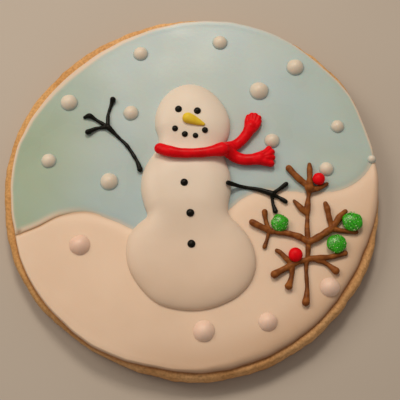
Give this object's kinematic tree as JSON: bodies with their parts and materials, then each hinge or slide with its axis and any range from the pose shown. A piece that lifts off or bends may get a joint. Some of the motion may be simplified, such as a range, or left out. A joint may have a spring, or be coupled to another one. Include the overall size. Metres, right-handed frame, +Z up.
{
  "type": "snowman cookie",
  "caption": "Round butter cookie flooded with pale blue and white icing, with a raised piped snowman in a red scarf and a bare twig tree hung with baubles.",
  "frame": {"origin": "centre of the biscuit's flat foot", "axes": "+Z up through the icing, +Y towards the snowman's head, +X towards the twig tree"},
  "size_m": [0.0996, 0.1002, 0.0136],
  "materials": {
    "biscuit": "baked golden crumb, matte, browner at the foot and edge",
    "blue_icing": "dried royal icing, pale blue, satin",
    "white_icing": "dried royal icing, warm white, satin",
    "red_icing": "dried royal icing, red, soft gloss",
    "black_icing": "dried royal icing, black, soft gloss",
    "brown_icing": "dried royal icing, brown, soft gloss",
    "yellow_icing": "dried royal icing, yellow, soft gloss",
    "green_gel": "clear green piping gel with glitter flakes"
  },
  "bodies": {
    "root": {"biscuit": "biscuit", "sky_icing": "blue_icing", "snow_icing": "white_icing", "snowman": "white_icing", "scarf": "red_icing", "arm_left": "black_icing", "arm_right": "black_icing", "twig_tree": "brown_icing"}
  },
  "joints": []
}
